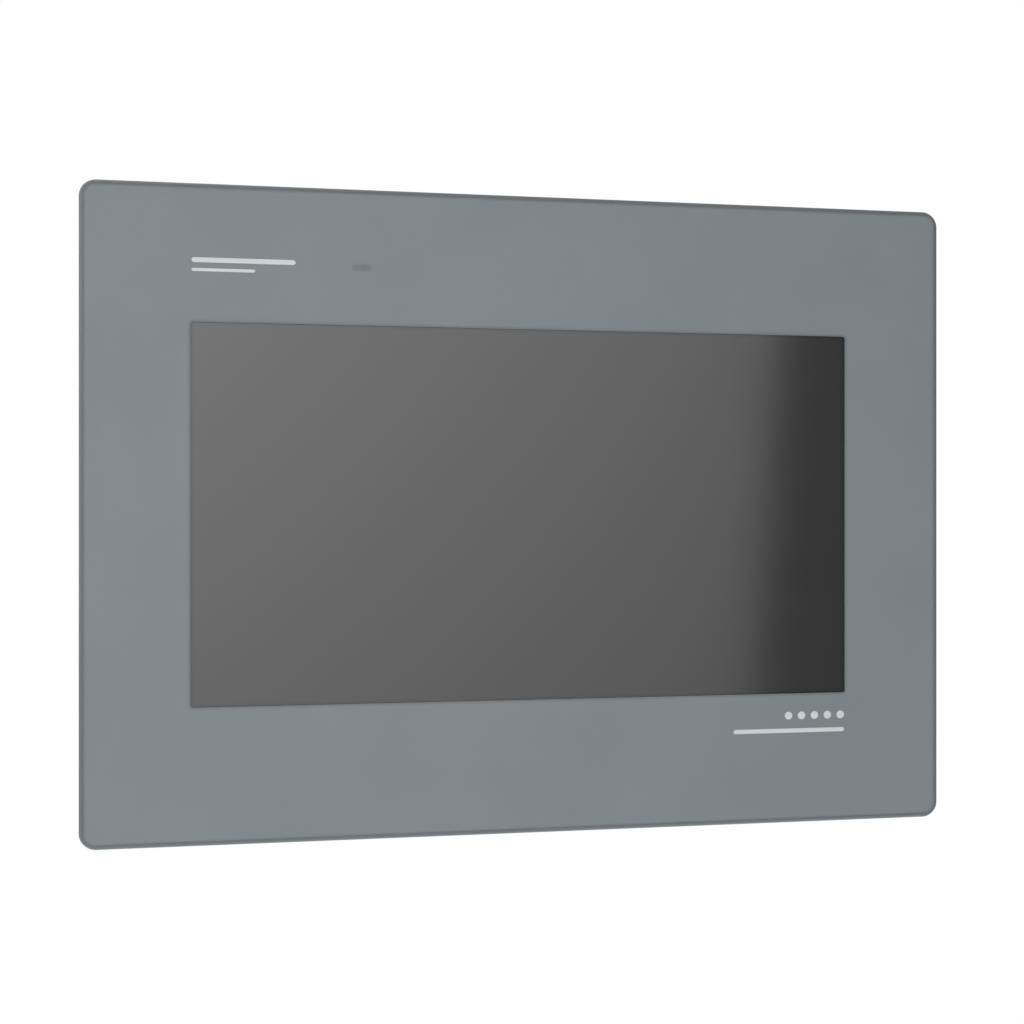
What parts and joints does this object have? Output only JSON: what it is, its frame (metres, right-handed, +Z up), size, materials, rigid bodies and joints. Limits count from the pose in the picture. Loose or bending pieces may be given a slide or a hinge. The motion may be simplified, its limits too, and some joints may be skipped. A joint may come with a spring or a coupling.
{
  "type": "hmi touch panel",
  "caption": "Wide-format operator touch panel with a slim front frame, a flat film face, a rear case with sockets below, and screw clamps that hold it in a cabinet cut-out.",
  "frame": {"origin": "middle of the cabinet cut-out, in the plane of the sheet's front, where the gasket's rear face seats", "axes": "+Z up, -Y out of the touch face towards the operator, +X to the operator's right"},
  "size_m": [0.2036, 0.0445, 0.152],
  "materials": {
    "bezel_plastic": "slate grey moulded frame, fine satin",
    "printed_film": "slate grey printed polyester film, matt",
    "smoked_lens": "smoky translucent light pipe",
    "touch_glass": "dark display behind an anti-glare hard coat",
    "lcd_glass": "dark liquid-crystal cell",
    "case_plastic": "dark grey moulded, spark-eroded texture",
    "black_plastic": "black moulded",
    "foam": "black closed-cell foam",
    "gasket_rubber": "black silicone rubber",
    "steel": "zinc plated and clear passivated",
    "nickel": "nickel plated sheet",
    "cast_zinc": "zinc die casting, tumbled",
    "brass": "plated brass",
    "circuit_board": "green solder mask",
    "chip": "moulded epoxy",
    "ferrite": "pressed ferrite",
    "white_plastic": "white moulded",
    "plug_green": "green moulded",
    "polyimide": "amber film",
    "label_film": "blank silver-grey label"
  },
  "bodies": {
    "panel": {"bezel_frame": "bezel_plastic", "front_overlay": "printed_film", "touch_sensor": "touch_glass", "touch_tail": "polyimide", "touch_gasket": "foam", "lcd_frame": "steel", "lcd_panel": "lcd_glass", "backlight_unit": "white_plastic", "lcd_tail": "polyimide", "status_light_pipe": "smoked_lens", "panel_gasket": "gasket_rubber", "chassis_plate": "steel", "main_board": "circuit_board", "processor_chip": "chip", "memory_chip": "chip", "power_inductor": "ferrite", "supply_capacitor": "chip", "coin_cell_holder": "black_plastic", "coin_cell": "steel", "buzzer": "black_plastic", "ethernet_jack": "nickel", "serial_jack": "black_plastic", "usb_host_port": "nickel", "usb_device_port": "nickel", "serial_port_shell": "nickel", "serial_port_body": "black_plastic", "jack_screw_left": "steel", "jack_screw_right": "steel", "power_header": "plug_green", "rear_case": "case_plastic", "rating_label": "label_film", "board_screw_1": "steel", "board_screw_2": "steel", "board_screw_3": "steel", "board_screw_4": "steel", "case_screw_top_left": "steel", "case_screw_top_right": "steel", "case_screw_bottom_left": "steel", "case_screw_bottom_right": "steel"},
    "plug": {"power_plug": "plug_green"},
    "cage_1": {"plug_cage_1": "brass"},
    "wire_screw_1": {"plug_screw_1": "steel"},
    "cage_2": {"plug_cage_2": "brass"},
    "wire_screw_2": {"plug_screw_2": "steel"},
    "cage_3": {"plug_cage_3": "brass"},
    "wire_screw_3": {"plug_screw_3": "steel"},
    "clamp_top_left": {"clamp_body_top_left": "cast_zinc"},
    "pad_top_left": {"clamp_pad_top_left": "black_plastic"},
    "screw_top_left": {"clamp_screw_top_left": "steel"},
    "clamp_top_right": {"clamp_body_top_right": "cast_zinc"},
    "pad_top_right": {"clamp_pad_top_right": "black_plastic"},
    "screw_top_right": {"clamp_screw_top_right": "steel"},
    "clamp_bottom_left": {"clamp_body_bottom_left": "cast_zinc"},
    "pad_bottom_left": {"clamp_pad_bottom_left": "black_plastic"},
    "screw_bottom_left": {"clamp_screw_bottom_left": "steel"},
    "clamp_bottom_right": {"clamp_body_bottom_right": "cast_zinc"},
    "pad_bottom_right": {"clamp_pad_bottom_right": "black_plastic"},
    "screw_bottom_right": {"clamp_screw_bottom_right": "steel"}
  },
  "joints": [
    {"name": "clamp_slide_top_left", "type": "slide", "parent": "panel", "child": "clamp_top_left", "axis": [1, 0, 0], "range_m": [0, 0.007]},
    {"name": "pad_advance_top_left", "type": "slide", "parent": "clamp_top_left", "child": "pad_top_left", "axis": [0, -1, 0], "range_m": [0, 0.0056]},
    {"name": "clamp_screw_turn_top_left", "type": "hinge", "parent": "pad_top_left", "child": "screw_top_left", "pos_m": [-0.062, 0.018, 0.0714], "axis": [0, -1, 0], "range_deg": [0, 2880]},
    {"name": "clamp_slide_top_right", "type": "slide", "parent": "panel", "child": "clamp_top_right", "axis": [-1, 0, 0], "range_m": [0, 0.007]},
    {"name": "pad_advance_top_right", "type": "slide", "parent": "clamp_top_right", "child": "pad_top_right", "axis": [0, -1, 0], "range_m": [0, 0.0056]},
    {"name": "clamp_screw_turn_top_right", "type": "hinge", "parent": "pad_top_right", "child": "screw_top_right", "pos_m": [0.062, 0.018, 0.0714], "axis": [0, -1, 0], "range_deg": [0, 2880]},
    {"name": "clamp_slide_bottom_left", "type": "slide", "parent": "panel", "child": "clamp_bottom_left", "axis": [1, 0, 0], "range_m": [0, 0.007]},
    {"name": "pad_advance_bottom_left", "type": "slide", "parent": "clamp_bottom_left", "child": "pad_bottom_left", "axis": [0, -1, 0], "range_m": [0, 0.0056]},
    {"name": "clamp_screw_turn_bottom_left", "type": "hinge", "parent": "pad_bottom_left", "child": "screw_bottom_left", "pos_m": [-0.062, 0.018, -0.0714], "axis": [0, -1, 0], "range_deg": [0, 2880]},
    {"name": "clamp_slide_bottom_right", "type": "slide", "parent": "panel", "child": "clamp_bottom_right", "axis": [-1, 0, 0], "range_m": [0, 0.007]},
    {"name": "pad_advance_bottom_right", "type": "slide", "parent": "clamp_bottom_right", "child": "pad_bottom_right", "axis": [0, -1, 0], "range_m": [0, 0.0056]},
    {"name": "clamp_screw_turn_bottom_right", "type": "hinge", "parent": "pad_bottom_right", "child": "screw_bottom_right", "pos_m": [0.062, 0.018, -0.0714], "axis": [0, -1, 0], "range_deg": [0, 2880]},
    {"name": "plug_pull", "type": "slide", "parent": "panel", "child": "plug", "axis": [0, 0, -1], "range_m": [0, 0.012]},
    {"name": "wire_screw_turn_1", "type": "hinge", "parent": "plug", "child": "wire_screw_1", "pos_m": [-0.06508, 0.0305, -0.037], "axis": [0, -1, 0], "range_deg": [0, 1440]},
    {"name": "cage_rise_1", "type": "slide", "parent": "plug", "child": "cage_1", "axis": [0, 1, 0], "range_m": [0, 0.002]},
    {"name": "wire_screw_turn_2", "type": "hinge", "parent": "plug", "child": "wire_screw_2", "pos_m": [-0.06, 0.0305, -0.037], "axis": [0, -1, 0], "range_deg": [0, 1440]},
    {"name": "cage_rise_2", "type": "slide", "parent": "plug", "child": "cage_2", "axis": [0, 1, 0], "range_m": [0, 0.002]},
    {"name": "wire_screw_turn_3", "type": "hinge", "parent": "plug", "child": "wire_screw_3", "pos_m": [-0.05492, 0.0305, -0.037], "axis": [0, -1, 0], "range_deg": [0, 1440]},
    {"name": "cage_rise_3", "type": "slide", "parent": "plug", "child": "cage_3", "axis": [0, 1, 0], "range_m": [0, 0.002]}
  ],
  "couplings": [
    {"joint": "clamp_screw_turn_top_left", "follows": "pad_advance_top_left", "rad_per_m": 8976},
    {"joint": "clamp_screw_turn_top_right", "follows": "pad_advance_top_right", "rad_per_m": 8976},
    {"joint": "clamp_screw_turn_bottom_left", "follows": "pad_advance_bottom_left", "rad_per_m": 8976},
    {"joint": "clamp_screw_turn_bottom_right", "follows": "pad_advance_bottom_right", "rad_per_m": 8976},
    {"joint": "wire_screw_turn_1", "follows": "cage_rise_1", "rad_per_m": 12566},
    {"joint": "wire_screw_turn_2", "follows": "cage_rise_2", "rad_per_m": 12566},
    {"joint": "wire_screw_turn_3", "follows": "cage_rise_3", "rad_per_m": 12566}
  ]
}
